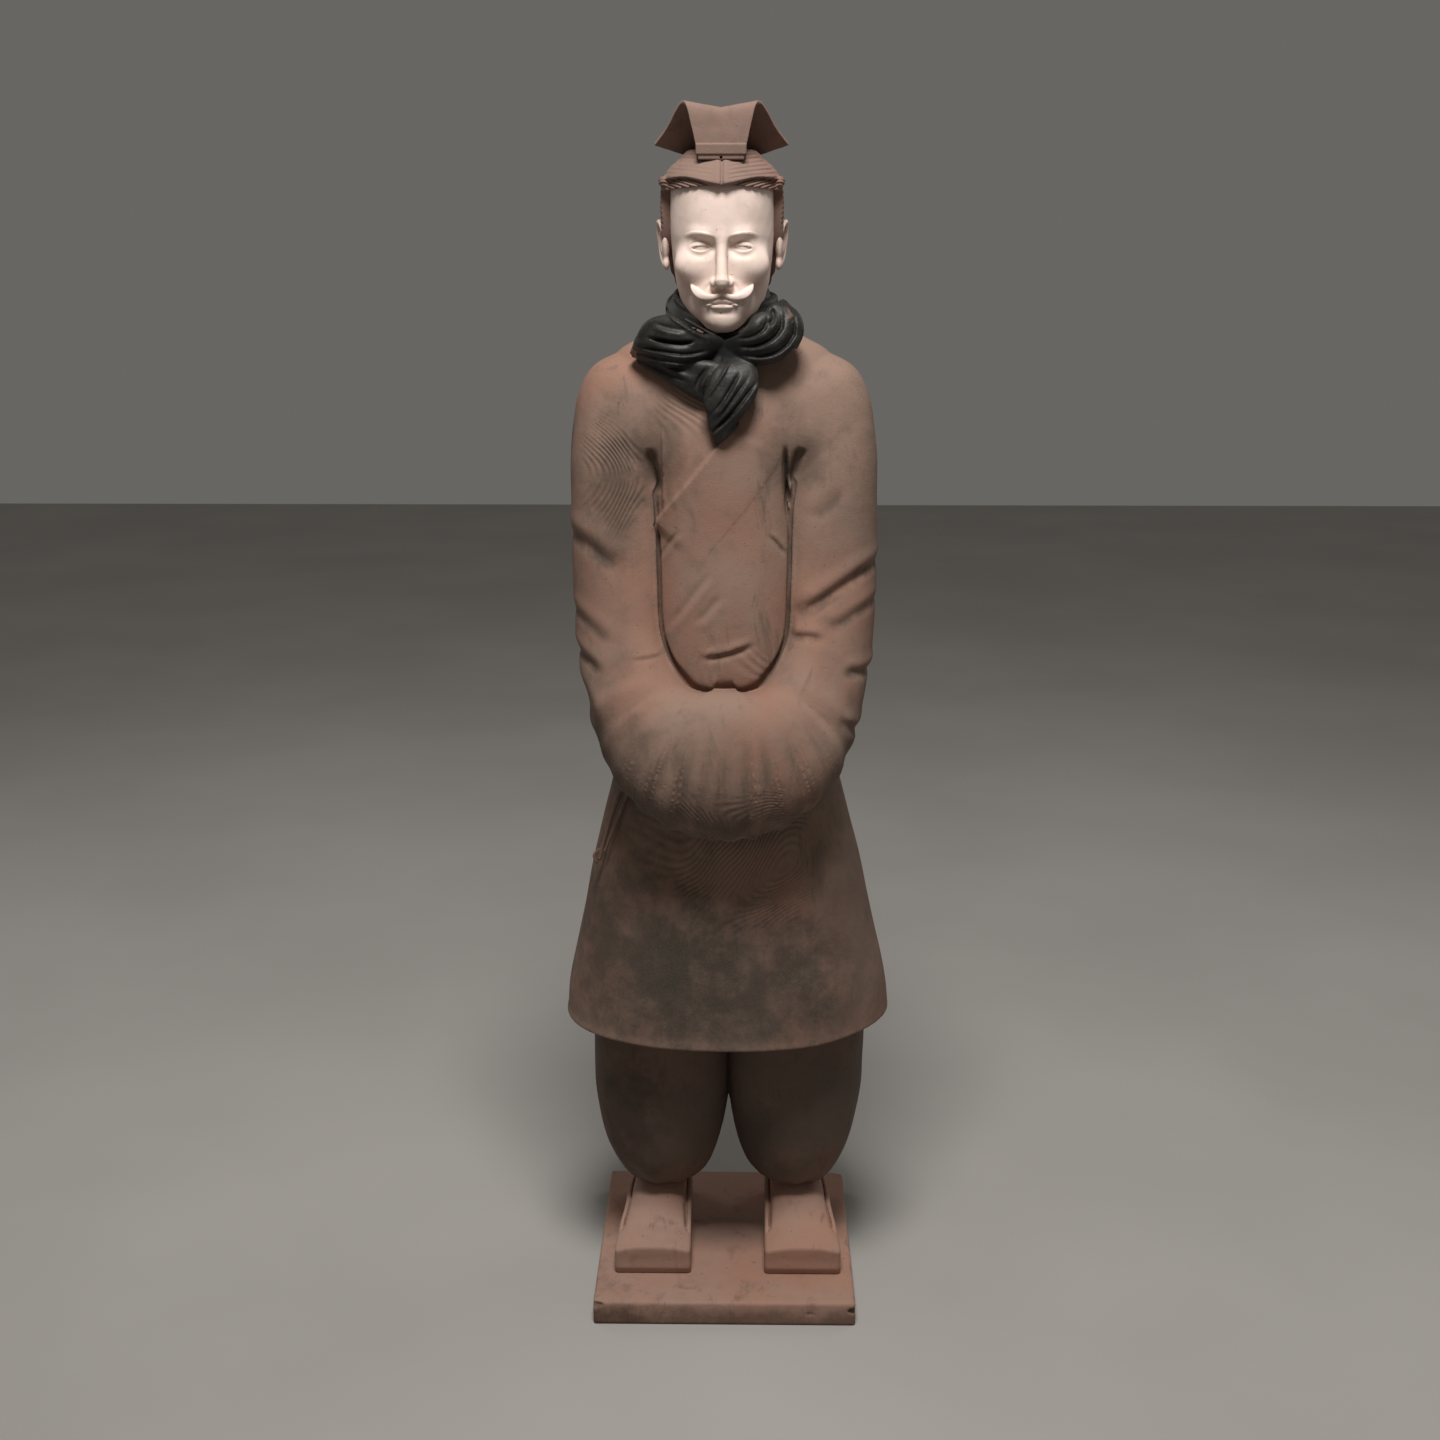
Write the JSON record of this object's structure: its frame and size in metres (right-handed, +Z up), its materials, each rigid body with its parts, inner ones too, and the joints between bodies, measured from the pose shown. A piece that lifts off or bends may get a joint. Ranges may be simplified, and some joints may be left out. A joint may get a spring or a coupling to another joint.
{
  "type": "terracotta warrior statue",
  "caption": "Standing terracotta official in a long robe with hands joined in the sleeves, black scarf and winged cap, on a square plinth.",
  "frame": {"origin": "middle of the plinth's flat underside", "axes": "+Z up through the figure, the figure faces -Y, +X is on the figure's left-hand side"},
  "size_m": [0.53, 0.4653, 1.8724],
  "materials": {
    "plinth_clay": "unglazed fired clay, pinkish, dusty",
    "robe_clay": "unglazed fired clay with grey-green and reddish stains",
    "face_paint": "fired clay with worn pale pink paint",
    "hair_clay": "bare brown fired clay",
    "scarf_paint": "black paint on clay, slightly glossy, chipped",
    "trouser_clay": "dark stained fired clay"
  },
  "bodies": {
    "root": {"plinth": "plinth_clay", "body": "robe_clay", "head": "face_paint"}
  },
  "joints": []
}
